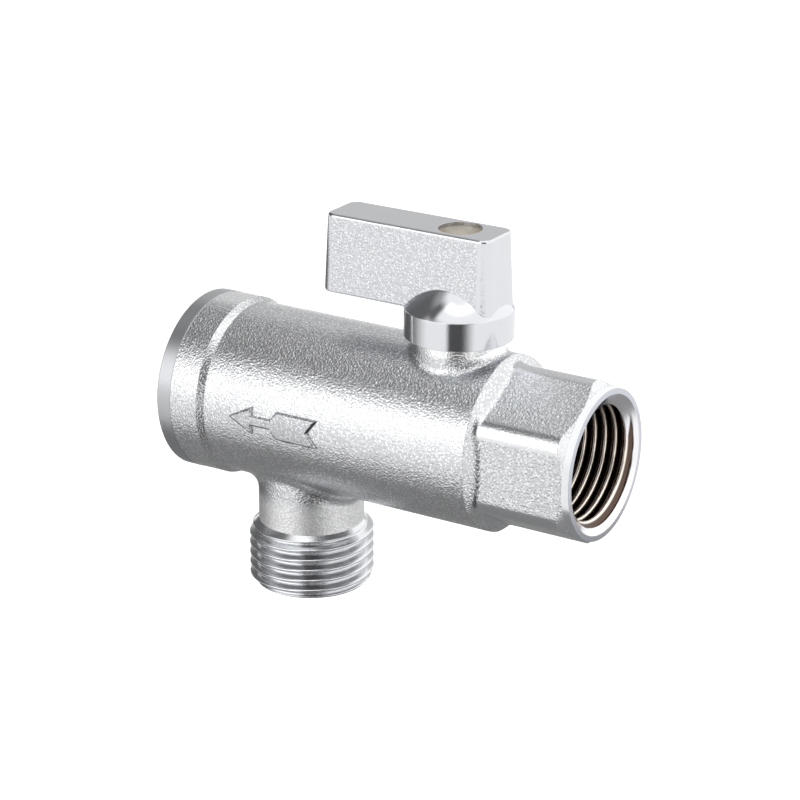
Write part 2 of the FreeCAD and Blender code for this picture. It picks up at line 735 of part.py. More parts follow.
def cut_handle(body):
    bore = "Sizes.neck_diameter / 2 + Sizes.skirt_bore_clearance"
    hollow = new_sketch(body, "skirt_bore_profile", "XY_Plane", along=SKIRT_BOTTOM)
    circle(hollow, bore)
    extruded(body, "Pocket", "skirt_bore", hollow,
             f"{STEM_SHOULDER} - ({SKIRT_BOTTOM})", reverse=True)
    groove = new_sketch(body, "stop_groove_profile", "XY_Plane", along=SKIRT_BOTTOM)
    spare = "(Sizes.lug_half_angle + Sizes.stop_clearance_angle)"
    sector(groove, f"{bore} - 0.5", "Sizes.lug_reach + Sizes.stop_clearance",
           f"Sizes.lug_direction - {spare}", f"Sizes.lug_direction + Sizes.quarter_turn + {spare}")
    height = "Sizes.lug_height + Sizes.stop_clearance - Sizes.skirt_gap"
    extruded(body, "Pocket", "stop_groove", groove, height, reverse=True)
    square = new_sketch(body, "socket_profile", "XY_Plane", along=SKIRT_BOTTOM)
    side = "(Sizes.square_size / 2 + Sizes.square_clearance)"
    rectangle(square, f"-{side}", side, f"-{side}", side)
    extruded(body, "Pocket", "square_socket", square,
             f"{SOCKET_TOP} - ({SKIRT_BOTTOM})", reverse=True)
    shank = new_sketch(body, "shank_hole_profile", "XY_Plane", along=HANDLE_TOP)
    circle(shank, "Sizes.screw_diameter / 2 + Sizes.screw_clearance")
    extruded(body, "Pocket", "shank_hole", shank, f"{HANDLE_TOP} - ({SQUARE_TOP})")
    head = new_sketch(body, "counterbore_profile", "XY_Plane", along=HANDLE_TOP)
    circle(head, "Sizes.counterbore_diameter / 2")
    return extruded(body, "Pocket", "counterbore", head, f"{HANDLE_TOP} - ({HEAD_SEAT})")


def make_handle():
    body = new_body("handle")
    add_handle_block(body)
    add_skirt(body)
    cut_handle(body)
    place(body, x=STEM)
    return body


# Screw and spring washer that hold the handle on the stem


def make_handle_screw():
    """Pan head screw. Its own zero height is the underside of the head."""
    body = new_body("handle_screw")
    shank = "Sizes.screw_diameter / 2"
    head = "Sizes.head_diameter / 2"
    flat = "Sizes.head_diameter / 4"
    tip = "Sizes.screw_diameter / 6"
    profile = new_sketch(body, "screw_profile", "XZ_Plane")
    outline(profile, [
        ("0", "-Sizes.screw_length"),
        (f"{shank} - {tip}", "-Sizes.screw_length"),
        (shank, f"-Sizes.screw_length + {tip}"),
        (shank, "0"),
        (head, "0"),
        (head, "Sizes.head_side"),
        (flat, "Sizes.head_height"),
        ("0", "Sizes.head_height"),
    ], {5: ("Sizes.head_dome_radius", 1)})
    turned(body, "Revolution", "screw_blank", profile, "V_Axis")
    half_width = "Sizes.recess_width / 2"
    half_span = "Sizes.recess_span / 2"
    for label, across, upward in (("first", half_span, half_width), ("second", half_width, half_span)):
        cross = new_sketch(body, f"recess_{label}_profile", "XY_Plane", along="Sizes.head_height")
        rectangle(cross, f"-{across}", across, f"-{upward}", upward)
        extruded(body, "Pocket", f"recess_{label}", cross, "Sizes.recess_depth")
    place(body, x=STEM, z=f"{HEAD_SEAT} + Sizes.washer_thickness")
    return body


def make_spring_washer():
    body = new_body("screw_spring_washer")
    ring = new_sketch(body, "washer_profile", "XY_Plane")
    circle(ring, "Sizes.washer_outer_diameter / 2")
    circle(ring, "Sizes.washer_inner_diameter / 2")
    extruded(body, "Pad", "washer_ring", ring, "Sizes.washer_thickness")
    split = new_sketch(body, "split_profile", "XZ_Plane")
    lean = "Sizes.washer_split / 2"
    outline(split, [
        (f"-{lean} - Sizes.washer_split / 2", "-0.1"),
        (f"{lean} - Sizes.washer_split / 2", "-0.1"),
        (f"{lean} + Sizes.washer_split / 2", "Sizes.washer_thickness + 0.1"),
        (f"-{lean} + Sizes.washer_split / 2", "Sizes.washer_thickness + 0.1"),
    ])
    extruded(body, "Pocket", "washer_split", split, "Sizes.washer_outer_diameter", reverse=True)
    place(body, x=STEM, z=HEAD_SEAT)
    return body


SUB_PARTS = [
    make_valve_body(),
    make_ball(),
    make_seat("inlet_seat", 1),
    make_seat("outlet_seat", -1),
    make_seat_retainer(),
    make_stem(),
    make_thrust_washer(),
    make_stem_ring("stem_ring_lower", LOWER_RING),
    make_stem_ring("stem_ring_upper", UPPER_RING),
    make_handle(),
    make_handle_screw(),
    make_spring_washer(),
]
doc.recompute()

for item in doc.Objects:
    if "Invalid" in item.State or "Error" in item.State:
        raise RuntimeError(f"{item.Name} did not build: {item.State}")
for part in SUB_PARTS:
    if part.Shape.isNull() or not part.Shape.isValid() or len(part.Shape.Solids) != 1:
        raise RuntimeError(f"{part.Label} is not one valid solid")

os.makedirs("parts", exist_ok=True)
for part in SUB_PARTS:
    part.Shape.exportStep(f"parts/{part.Label}.step")
    box = part.Shape.BoundBox
    print(f"{part.Label}: volume {part.Shape.Volume:.1f}, x {box.XMin:.2f} to {box.XMax:.2f}, "
          f"y {box.YMin:.2f} to {box.YMax:.2f}, z {box.ZMin:.2f} to {box.ZMax:.2f}")
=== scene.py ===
import math
import bpy
import numpy as np
from mathutils import Matrix, Vector


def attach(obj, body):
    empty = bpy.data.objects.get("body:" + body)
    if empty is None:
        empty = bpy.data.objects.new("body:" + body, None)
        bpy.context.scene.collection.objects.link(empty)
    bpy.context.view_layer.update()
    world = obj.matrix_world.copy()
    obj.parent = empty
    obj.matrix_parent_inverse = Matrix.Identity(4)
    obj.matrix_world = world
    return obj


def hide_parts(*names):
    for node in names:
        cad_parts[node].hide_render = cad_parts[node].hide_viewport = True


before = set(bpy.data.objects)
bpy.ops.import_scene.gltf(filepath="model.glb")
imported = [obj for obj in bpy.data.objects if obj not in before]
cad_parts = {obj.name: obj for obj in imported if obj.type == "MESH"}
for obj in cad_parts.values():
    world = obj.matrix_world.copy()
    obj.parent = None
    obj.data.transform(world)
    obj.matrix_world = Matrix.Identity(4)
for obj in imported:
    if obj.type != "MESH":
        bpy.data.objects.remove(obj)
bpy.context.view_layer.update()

# Sizes are in millimetres in the row frame, and become metres where a mesh is made

MM = 0.001
STEM_X = -25.4
BRANCH_X = -53.8
BARREL_RADIUS = 14.35
RING_BAND_X = -71.6

# Front of the barrel with the flow arrow
ARROW_TIP_X, ARROW_TAIL_X, ARROW_HALF_HEIGHT = -61.0, -42.5, 4.0
ARROW_RISE = 0.4

# Hexagon of the inlet: half the width over flats and the corners' radius, in the solid and as shown
HEX_FLAT, HEX_ROUND = 12.25, 6.5
SHARP_FLAT, SHARP_ROUND = 12.2, 3.6
BAND_RADIUS, CONE_SLOPE = 12.2, 0.7
SHOULDER_X, HEX_BACK_X = -17.0, -15.4
SIXTH, BAND_TILT = math.radians(60), math.radians(50)

# Handle: its bar widens by the flare for each millimetre down from its top
HANDLE_TOP, HANDLE_FLARE = 34.05, 0.45 / 13.0
BAR_BACK_X, BAR_FRONT_X, BAR_HALF_WIDTH = STEM_X - 21.2, STEM_X + 5.6, 4.3
BAR_LOW, BAR_HIGH = 21.6, 33.5
HOLE_RADIUS = 3.5

# Pipe thread of 14 turns an inch, and the points of its mesh in one turn and in one pitch
PITCH = 1.814
THREAD_DEPTH = 1.1615
CREST_ROUND = 0.2491
HALF_ANGLE = math.radians(27.5)
AROUND, STEPS = 240, 20

# Outer radii of the threads, and the crests and inner ends of the two female ones
HALF_INCH_RADIUS, THREE_QUARTER_RADIUS = 10.4775, 13.2205
INLET_CREST, OUTLET_CREST = 9.315, 12.06
INLET_INNER_X, OUTLET_INNER_X = -11.3, -63.8


# Node helpers


class Nodes:
    """Small helper that adds nodes to a tree and links them."""

    def __init__(self, tree):
        self.tree = tree
        self.tree.nodes.clear()

    def add(self, kind, **settings):
        node = self.tree.nodes.new(kind)
        for key, value in settings.items():
            setattr(node, key, value)
        return node

    def link(self, source, target):
        self.tree.links.new(source, target)

    def set(self, socket, value):
        """Links a socket, or sets a plain value."""
        if isinstance(value, bpy.types.NodeSocket):
            self.link(value, socket)
        else:
            socket.default_value = value

    def math(self, operation, first, second=0.0):
        node = self.add("ShaderNodeMath", operation=operation)
        self.set(node.inputs[0], first)
        self.set(node.inputs[1], second)
        return node.outputs[0]

    def times(self, first, *others):
        """Product of all values."""
        for other in others:
            first = self.math("MULTIPLY", first, other)
        return first

    def highest(self, first, *others):
        """Largest of all values."""
        for other in others:
            first = self.math("MAXIMUM", first, other)
        return first

    def step(self, value, low, high):
        """0 below low, 1 above high, smooth between. low over high turns it round."""
        node = self.add("ShaderNodeMapRange", interpolation_type="SMOOTHSTEP")
        self.set(node.inputs["Value"], value)
        if low < high:
            node.inputs["From Min"].default_value = low
            node.inputs["From Max"].default_value = high
        else:
            node.inputs["From Min"].default_value = high
            node.inputs["From Max"].default_value = low
            node.inputs["To Min"].default_value = 1.0
            node.inputs["To Max"].default_value = 0.0
        return node.outputs["Result"]

    def spread(self, value, low, high):
        """A 0 to 1 value carried to low to high."""
        node = self.add("ShaderNodeMapRange")
        self.set(node.inputs["Value"], value)
        node.inputs["To Min"].default_value = low
        node.inputs["To Max"].default_value = high
        return node.outputs["Result"]

    def mix(self, factor, first, second):
        node = self.add("ShaderNodeMix", data_type="RGBA")
        self.set(node.inputs["Factor"], factor)
        self.set(node.inputs["A"], first)
        self.set(node.inputs["B"], second)
        return node.outputs["Result"]

    def place(self):
        """Object coordinates in millimetres: the vector, x, y and z."""
        source = self.add("ShaderNodeTexCoord").outputs["Object"]
        scale = self.add("ShaderNodeVectorMath", operation="SCALE")
        self.link(source, scale.inputs[0])
        scale.inputs["Scale"].default_value = 1.0 / MM
        split = self.add("ShaderNodeSeparateXYZ")
        self.link(scale.outputs["Vector"], split.inputs[0])
        return scale.outputs["Vector"], split.outputs["X"], split.outputs["Y"], split.outputs["Z"]

    def noise(self, vector, scale, detail=2.0, roughness=0.5):
        node = self.add("ShaderNodeTexNoise")
        self.link(vector, node.inputs["Vector"])
        node.inputs["Scale"].default_value = scale
        node.inputs["Detail"].default_value = detail
        node.inputs["Roughness"].default_value = roughness
        return node.outputs["Fac"]

    def stretched(self, vector, factors):
        node = self.add("ShaderNodeVectorMath", operation="MULTIPLY")
        self.link(vector, node.inputs[0])
        node.inputs[1].default_value = factors
        return node.outputs["Vector"]

    def bump(self, height, distance, strength=1.0, normal=None):
        """Normal of a height map. distance is in millimetres."""
        node = self.add("ShaderNodeBump")
        self.link(height, node.inputs["Height"])
        self.set(node.inputs["Strength"], strength)
        node.inputs["Distance"].default_value = distance * MM
        if normal is not None:
            self.link(normal, node.inputs["Normal"])
        return node.outputs["Normal"]

    def edge(self, radius):
        """Normal of slightly rounded edges."""
        node = self.add("ShaderNodeBevel", samples=4)
        node.inputs["Radius"].default_value = radius * MM
        return node.outputs["Normal"]

    def grain(self, vector):
        """Height of a blasted surface: small round dimples of mixed depth."""
        node = self.add("ShaderNodeTexVoronoi", feature="SMOOTH_F1")
        self.link(vector, node.inputs["Vector"])
        node.inputs["Scale"].default_value = 3.1
        node.inputs["Smoothness"].default_value = 0.35
        coarse = self.noise(vector, 2.2, roughness=0.7)
        return self.math("ADD", node.outputs["Distance"], self.times(coarse, 0.7))

    def sparkle(self, vector):
        """Small round bright spots of mixed strength, 0 to 1."""
        node = self.add("ShaderNodeTexVoronoi", feature="F1")
        self.link(vector, node.inputs["Vector"])
        node.inputs["Scale"].default_value = 2.3
        spots = self.step(node.outputs["Distance"], 0.6, 0.1)
        strength = self.spread(self.noise(vector, 1.3), 0.2, 1.6)
        return self.times(spots, strength)

    def painted_corner_shade(self, reach):
        """1 on open surfaces, lower down in the corners where two surfaces meet: a mask for painted
        shade.
        """
        node = self.add("ShaderNodeAmbientOcclusion", samples=8)
        node.inputs["Distance"].default_value = reach * MM
        return self.step(node.outputs["AO"], 0.4, 0.85)

    def scaled(self, colour, factor):
        node = self.add("ShaderNodeVectorMath", operation="SCALE")
        self.link(colour, node.inputs[0])
        self.set(node.inputs["Scale"], factor)
        return node.outputs["Vector"]

    def off_axis(self, y, z):
        """Distance from the body's long axis."""
        squares = self.math("ADD", self.math("POWER", y, 2.0), self.math("POWER", z, 2.0))
        return self.math("SQRT", squares)

    def inside(self, value, low, high, soft):
        """1 between low and high, 0 outside, smooth over a width."""
        return self.times(self.step(value, low - soft, low + soft),
                          self.step(value, high + soft, high - soft))


def new_material(name):
    """Material, its node helper and its shader."""
    material = bpy.data.materials.new(name)
    material.use_nodes = True
    nodes = Nodes(material.node_tree)
    shader = nodes.add("ShaderNodeBsdfPrincipled")
    output = nodes.add("ShaderNodeOutputMaterial")
    nodes.link(shader.outputs["BSDF"], output.inputs["Surface"])
    return material, nodes, shader


# Materials


def blasted_plating(name, rough_share, tints, depth, contrast, smooth, marks, dullness):
    """Satin plated metal. rough_share gives where it is blasted and where it is smooth, depth and
    contrast how strong the grain and its bright spots are, and smooth the roughness between them.
    marks lists shares of the surface with a colour of their own or with painted shade. dullness gives a
    roughness to add."""
    material, nodes, shader = new_material(name)
    vector, x, y, z = nodes.place()
    grain = nodes.grain(vector)
    share = rough_share(nodes, x, y, z)
    normal = nodes.bump(grain, depth, nodes.spread(share, 0.04, 1.0), nodes.edge(0.15))
    nodes.link(normal, shader.inputs["Normal"])
    shader.inputs["Metallic"].default_value = 1.0
    colour = nodes.mix(nodes.noise(vector, 0.25), *tints)
    for mark, tint in marks:
        colour = nodes.mix(mark(nodes, x, y, z), colour, tint)
    spots = nodes.spread(nodes.sparkle(vector), 1 - contrast, 1 + 1.4 * contrast)
    level = nodes.math("ADD", 1.0, nodes.times(share, nodes.math("SUBTRACT", spots, 1.0)))
    # Painted shade: the colour darkens in corners and creases, where shade falls.
    shade = nodes.spread(nodes.painted_corner_shade(1.0), 0.8, 1.0)
    colour = nodes.scaled(colour, nodes.times(level, shade))
    nodes.link(colour, shader.inputs["Base Color"])
    roughness = nodes.spread(share, smooth, 0.25)
    roughness = nodes.math("ADD", roughness, dullness(nodes, x, y, z))
    nodes.link(roughness, shader.inputs["Roughness"])
    return material


def casting_share(nodes, x, y, z):
    """1 where the body is as cast, 0 on the turned bands at its two ends, and between them on the
    hexagon's corners, the boss and the neck, which are smoother."""
    past_band = nodes.math("SUBTRACT", nodes.off_axis(y, z), BAND_RADIUS + 0.05)
    on_cone = nodes.times(nodes.highest(past_band, 0.0), CONE_SLOPE)
    near_mouth = nodes.step(nodes.math("ADD", x, on_cone), -0.1, 0.1)
    sixfold = nodes.times(nodes.math("ARCTAN2", z, y), 6.0)
    corner = nodes.step(nodes.math("COSINE", nodes.math("SUBTRACT", sixfold, math.pi)), 0.6, 0.8)
    on_hexagon = nodes.step(x, HEX_BACK_X - 0.2, HEX_BACK_X + 0.2)
    smooth = nodes.highest(
        ring_band_mark(nodes, x, y, z),
        near_mouth,
        nodes.times(corner, on_hexagon, 0.7),
        nodes.times(nodes.step(z, 14.5, 15.0), 0.5),
        nodes.times(nodes.step(z, -14.5, -15.5), 0.25))
    return nodes.math("SUBTRACT", 1.0, smooth)


def end_face_mark(nodes, x, y, z):
    """1 on the end face of the inlet."""
    return nodes.step(x, 1.2, 1.25)


def ring_band_mark(nodes, x, y, z):
    """1 on the turned band of the end ring."""
    return nodes.step(x, RING_BAND_X + 0.1, RING_BAND_X - 0.1)


def branch_and_boss_mark(nodes, x, y, z):
    """1 on the branch's neck and on the boss under the handle, which are paler than the barrel."""
    return nodes.highest(nodes.step(z, -14.6, -17.5), nodes.step(z, 14.5, 15.3))


def casting_dullness(nodes, x, y, z):
    """Roughness to add on the turned band of the end ring and on the branch's neck."""
    on_band = nodes.times(ring_band_mark(nodes, x, y, z), 0.16)
    on_neck = nodes.times(nodes.step(z, -14.5, -17.0), 0.2)
    return nodes.highest(on_band, on_neck)


def down_slope(nodes, y, z):
    """How far the surface faces down round the body's long axis, seen from its front side."""
    split = nodes.add("ShaderNodeSeparateXYZ")
    nodes.link(nodes.add("ShaderNodeNewGeometry").outputs["Normal"], split.inputs[0])
    turned = nodes.math("SUBTRACT", nodes.times(split.outputs["Z"], y),
                        nodes.times(split.outputs["Y"], z))
    return nodes.math("DIVIDE", turned, nodes.off_axis(y, z))


def on_arrow(nodes, x, y, z):
    """1 on the part of the barrel's front side that carries the flow arrow."""
    return nodes.times(nodes.inside(x, ARROW_TIP_X, ARROW_TAIL_X, 0.2),
                       nodes.step(y, -13.0, -13.3),
                       nodes.inside(z, -ARROW_HALF_HEIGHT, ARROW_HALF_HEIGHT, 0.2))


def arrow_foot_painted_shade(nodes, x, y, z):
    """1 on the lower walls of the flow arrow, where their own shade is painted in as a dark colour."""
    return nodes.times(on_arrow(nodes, x, y, z), nodes.step(down_slope(nodes, y, z), 0.14, 0.4))


def arrow_top_painted_shade(nodes, x, y, z):
    """1 on the top of the flow arrow, which a darker colour gives painted shade."""
    height = BARREL_RADIUS + ARROW_RISE
    raised = nodes.step(nodes.off_axis(y, z), height - 0.1, height + 0.1)
    return nodes.times(on_arrow(nodes, x, y, z), raised)


def screw_hole_mark(nodes, x, y, z):
    """1 on the wall and floor of the hole in the handle's top."""
    across = nodes.off_axis(nodes.math("SUBTRACT", x, STEM_X), y)
    return nodes.times(nodes.step(across, HOLE_RADIUS + 0.1, HOLE_RADIUS), nodes.step(z, 33.6, 33.2))


def hole_dullness(nodes, x, y, z):
    """Roughness to add in the hole of the handle's top."""
    return nodes.times(screw_hole_mark(nodes, x, y, z), 0.4)


def bar_share(nodes, x, y, z):
    """1 on the flat sides of the handle's bar, 0 on its roundings, ends, top, dome and skirt."""
    along = nodes.inside(x, BAR_BACK_X, BAR_FRONT_X, 0.25)
    flare = nodes.times(nodes.math("SUBTRACT", HANDLE_TOP, z), HANDLE_FLARE)
    half_width = nodes.math("SUBTRACT", nodes.math("ABSOLUTE", y), flare)
    across = nodes.inside(half_width, BAR_HALF_WIDTH - 0.15, BAR_HALF_WIDTH + 0.08, 0.04)
    upright = nodes.inside(z, BAR_LOW, BAR_HIGH, 0.15)
    return nodes.times(along, across, upright)


def turned_plating(name, colour, roughness, direction=(1, 1, 1), depth=0.01):
    """Smooth machined metal with faint tool lines."""
    material, nodes, shader = new_material(name)
    vector = nodes.place()[0]
    lines = nodes.noise(nodes.stretched(vector, direction), 6.0, roughness=0.7)
    nodes.link(nodes.bump(lines, depth), shader.inputs["Normal"])
    shader.inputs["Metallic"].default_value = 1.0
    shader.inputs["Base Color"].default_value = (*colour, 1)
    nodes.link(nodes.spread(lines, roughness * 0.8, roughness * 1.2), shader.inputs["Roughness"])
    return material


def plain_material(name, colour, roughness):
    """Plastic or rubber with a faint texture."""
    material, nodes, shader = new_material(name)
    texture = nodes.noise(nodes.place()[0], 3.0, detail=3.0)
    nodes.link(nodes.bump(texture, 0.01), shader.inputs["Normal"])
    dark = tuple(0.9 * value for value in colour)
    nodes.link(nodes.mix(texture, (*dark, 1), (*colour, 1)), shader.inputs["Base Color"])
    nodes.link(nodes.spread(texture, roughness * 0.85, roughness * 1.15), shader.inputs["Roughness"])
    return material


def female_thread(name, minor, mouth_start, mouth_slope):
    """Plated pipe thread: pale crests and mouth cone, and bare brass down in the grooves, darkened with
    painted shade.
    The cone starts at a distance along x, where its radius is that of the crests."""
    material, nodes, shader = new_material(name)
    vector, x, y, z = nodes.place()
    radius = nodes.off_axis(y, z)
    crest = (0.95, 0.87, 0.78, 1)
    groove_shade = (0.11, 0.075, 0.06, 1)
    mouth = (0.86, 0.86, 0.88, 1)
    # Painted shade: the grooves get a near-black brown, deeper than the bare brass there.
    colour = nodes.mix(nodes.step(radius, minor + 0.2, minor + 0.5), crest, groove_shade)
    cone = nodes.times(nodes.math("SUBTRACT", x, mouth_start), mouth_slope)
    past_cone = nodes.math("SUBTRACT", nodes.math("SUBTRACT", radius, minor), cone)
    colour = nodes.mix(nodes.step(past_cone, 0.1, 0.04), colour, mouth)
    nodes.link(colour, shader.inputs["Base Color"])
    lines = nodes.noise(nodes.stretched(vector, (3, 0.3, 0.3)), 6.0, roughness=0.7)
    nodes.link(nodes.bump(lines, 0.01), shader.inputs["Normal"])
    shader.inputs["Metallic"].default_value = 1.0
    nodes.link(nodes.spread(lines, 0.16, 0.24), shader.inputs["Roughness"])
    return material


PLATING = ((0.74, 0.755, 0.77, 1), (0.79, 0.80, 0.815, 1))
HANDLE_PLATING = ((0.68, 0.69, 0.72, 1), (0.72, 0.73, 0.75, 1))
# The arrow's top and foot colours in this list are painted shade.
CASTING_MARKS = [
    (branch_and_boss_mark, (0.95, 0.955, 0.96, 1)),
    (end_face_mark, (0.56, 0.57, 0.62, 1)),
    (ring_band_mark, (0.50, 0.51, 0.525, 1)),
    (arrow_top_painted_shade, (0.62, 0.63, 0.65, 1)),
    (arrow_foot_painted_shade, (0.18, 0.18, 0.19, 1)),
]
HANDLE_MARKS = [(screw_hole_mark, (0.90, 0.86, 0.79, 1))]
casting_look = blasted_plating(
    "blasted_plating", casting_share, PLATING,
    depth=0.055, contrast=0.18, smooth=0.17, marks=CASTING_MARKS, dullness=casting_dullness)
handle_look = blasted_plating(
    "satin_handle", bar_share, HANDLE_PLATING,
    depth=0.05, contrast=0.15, smooth=0.10, marks=HANDLE_MARKS, dullness=hole_dullness)
thread_look = turned_plating("thread_plating", (0.72, 0.73, 0.75), 0.14, (0.3, 0.3, 3))
inlet_thread_look = female_thread("inlet_thread_look", INLET_CREST, 0.0, 1.527)
outlet_thread_look = female_thread("outlet_thread_look", OUTLET_CREST, -73.6, -1.7)
brass_look = turned_plating("turned_brass", (0.72, 0.52, 0.25), 0.28)
ball_look = turned_plating("ball_plating_look", (0.82, 0.83, 0.84), 0.06, depth=0.002)
screw_look = turned_plating("screw_steel_look", (0.80, 0.78, 0.74), 0.4)
seat_look = plain_material("seat_plastic_look", (0.85, 0.85, 0.83), 0.45)
rubber_look = plain_material("rubber_look", (0.03, 0.03, 0.03), 0.5)


# Meshes


def new_piece(name, vertices, faces, material, body):
    """Mesh object in the row frame from points in millimetres, riding on a body."""
    mesh = bpy.data.meshes.new(name)
    mesh.from_pydata([tuple(MM * value for value in point) for point in vertices], [], faces)
    mesh.validate()
    mesh.materials.append(material)
    mesh.shade_smooth()
    piece = bpy.data.objects.new(name, mesh)
    bpy.context.scene.collection.objects.link(piece)
    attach(piece, body)
    return piece


def thread_drop(offset):
    """How far a rounded pipe thread lies below its crest, at a distance along the axis."""
    offset = np.abs((offset / PITCH + 0.5) % 1.0 - 0.5) * PITCH
    half = PITCH / 2
    arc_end = CREST_ROUND * math.cos(HALF_ANGLE)
    arc_drop = CREST_ROUND * (1 - math.sin(HALF_ANGLE))
    crest = CREST_ROUND - np.sqrt(np.maximum(CREST_ROUND ** 2 - offset ** 2, 0))
    root_part = np.maximum(CREST_ROUND ** 2 - (half - offset) ** 2, 0)
    root = THREAD_DEPTH - CREST_ROUND + np.sqrt(root_part)
    flank = arc_drop + (offset - arc_end) / math.tan(HALF_ANGLE)
    drop = np.where(offset < arc_end, crest, flank)
    return np.where(half - offset < arc_end, root, drop)


def thread_points(major, low, high, limit, inside, phase, fade):
    """Threaded surface round a local z axis, between two heights. The rows follow the helix.
    limit gives the plain radius at a height, and fade the share of the depth there."""
    rows = int((high - low) / PITCH * STEPS) + 2 * STEPS
    angles = np.linspace(0, 2 * math.pi, AROUND, endpoint=False)
    index = np.arange(rows)
    turn = angles[:, None] / (2 * math.pi)
    height = low - PITCH + (index[None, :] / STEPS + turn) * PITCH
    height = np.clip(height, low, high)
    drop = thread_drop(height - low - PITCH * turn - phase * PITCH)
    depth = fade(height)
    if inside:
        radius = (major - THREAD_DEPTH) + (THREAD_DEPTH - drop) * depth
        radius = np.maximum(radius, limit(height))
    else:
        radius = major - drop * depth
        radius = np.minimum(radius, limit(height))
    x = radius * np.cos(angles)[:, None]
    y = radius * np.sin(angles)[:, None]
    return np.stack([x, y, height], axis=-1)


def thread_faces(rows, flip):
    """Quads of a helical strip: the last angle joins the first one a whole turn up."""
    faces = []
    for i in range(AROUND):
        following = (i + 1) % AROUND
        shift = STEPS if following == 0 else 0
        for j in range(rows - 1):
            a, b = i * rows + j, i * rows + j + 1
            c, d = following * rows + j + 1 + shift, following * rows + j + shift
            if j + 1 + shift >= rows:
                continue
            faces.append((a, b, c, d) if flip else (a, d, c, b))
    return faces


def add_thread(name, major, low, high, limit, inside, phase, fade, to_row, material):
    """Thread as a piece. to_row carries its local points to the row frame."""
    points = thread_points(major, low, high, limit, inside, phase, fade)
    vertices = [to_row(point) for point in points.reshape(-1, 3)]
    piece = new_piece(name, vertices, thread_faces(points.shape[1], inside), material, "valve")
    tidy = piece.modifiers.new("merge", "WELD")
    tidy.merge_threshold = 0.001 * MM
    return piece


def straight(*knots):
    """Radius at a height, from straight lines between (height, radius) knots."""
    heights = [height for height, radius in knots]
    radii = [radius for height, radius in knots]
    return lambda value: np.interp(value, heights, radii)


# Threads. Each is made round its own z axis: heights run from the part's inside to its mouth.


def whole(height):
    """Full depth all along the thread."""
    return np.ones_like(height)


def fading_in(height):
    """0 at the inner end of a female thread, 1 further out, smooth between."""
    t = np.clip((height - 0.3) / (2.2 - 0.3), 0, 1)
    return t * t * (3 - 2 * t)


branch_limit = straight((21.0, 8.85), (22.6, HALF_INCH_RADIUS), (31.0, HALF_INCH_RADIUS), (32.0, 9.4775))
branch_thread = add_thread(
    "branch_thread", HALF_INCH_RADIUS, 21.0, 32.0, branch_limit, False, 0.0, whole,
    lambda p: (BRANCH_X + p[0], -p[1], -p[2]), thread_look)
inlet_limit = straight((0.0, INLET_CREST), (11.3, INLET_CREST), (12.6, 11.3))
inlet_thread = add_thread(
    "inlet_thread", HALF_INCH_RADIUS, 0.0, 12.6, inlet_limit, True, 0.62, fading_in,
    lambda p: (INLET_INNER_X + p[2], p[0], p[1]), inlet_thread_look)
outlet_limit = straight((0.0, OUTLET_CREST), (9.8, OUTLET_CREST), (10.5, 13.25))
outlet_thread = add_thread(
    "outlet_thread", THREE_QUARTER_RADIUS, 0.0, 10.5, outlet_limit, True, 0.0, fading_in,
    lambda p: (OUTLET_INNER_X - p[2], -p[0], p[1]), outlet_thread_look)


# Casting: the CAD surface without the plain places where the threads are


def hexagon_corner(flat, rounding):
    """Distance of the centre of a corner's arc from the axis, and half a flat's length."""
    reach = flat - rounding
    return reach / math.cos(SIXTH / 2), reach * math.tan(SIXTH / 2)


def sharper_corners(points, normals, owners):
    """Hexagon with smaller corner arcs: each point keeps the direction of its surface.
    Also turns the normals of the band at the mouth outward, as on a rounded edge."""
    old_centre, old_half = hexagon_corner(HEX_FLAT, HEX_ROUND)
    new_centre, new_half = hexagon_corner(SHARP_FLAT, SHARP_ROUND)
    x, y, z = points.T
    radius, turn = np.hypot(y, z), np.arctan2(z, y)
    sector = np.round(turn / SIXTH) * SIXTH
    local = turn - sector
    on_flat = np.abs(np.tan(local) * HEX_FLAT) <= old_half

    # Reach of the solid's outline in each point's direction, and how far round its corner arc that is
    lean = np.abs(SIXTH / 2 - np.abs(local))
    chord = np.sqrt(HEX_ROUND ** 2 - (old_centre * np.sin(lean)) ** 2) + old_centre * np.cos(lean)
    old_reach = np.where(on_flat, HEX_FLAT / np.cos(local), chord)
    bend = SIXTH / 2 - np.arcsin(np.clip(chord * np.sin(lean) / HEX_ROUND, -1, 1))

    # The same place on the new outline, out from the sector's middle and along it
    outward = np.where(on_flat, SHARP_FLAT,
                       new_centre * math.cos(SIXTH / 2) + SHARP_ROUND * np.cos(bend))
    round_corner = new_centre * math.sin(SIXTH / 2) + SHARP_ROUND * np.sin(bend)
    sideways = np.where(on_flat, np.tan(local) * HEX_FLAT * new_half / old_half,
                        np.where(local < 0, -1.0, 1.0) * round_corner)
    share = radius / old_reach
    new_y = share * (outward * np.cos(sector) - sideways * np.sin(sector))
    new_z = share * (outward * np.sin(sector) + sideways * np.cos(sector))

    # Only the outer surface between the shoulder and the turned band moves
    blend = np.clip((x - SHOULDER_X) / (HEX_BACK_X - SHOULDER_X), 0, 1)
    on_outside = (share > 0.985) & (radius > BAND_RADIUS + 0.02) & (x < 0.001)
    blend = np.where(on_outside, blend, 0)
    moved = points.copy()
    moved[:, 1] += blend * (new_y - y)
    moved[:, 2] += blend * (new_z - z)
    new_radius = np.hypot(moved[:, 1], moved[:, 2])
    on_cone = (blend > 0) & (x > -2.0)
    moved[:, 0] = np.where(on_cone, -CONE_SLOPE * (new_radius - BAND_RADIUS), x)

    for loop, vertex in enumerate(owners):
        across = normals[loop][1:]
        on_band = points[vertex][0] > -0.01 and abs(radius[vertex] - BAND_RADIUS) < 0.01
        if on_band and math.hypot(*across) > 0.99 and points[vertex][1:] @ across > 0:
            normals[loop] = (math.sin(BAND_TILT), *(math.cos(BAND_TILT) * across))
    return moved, normals


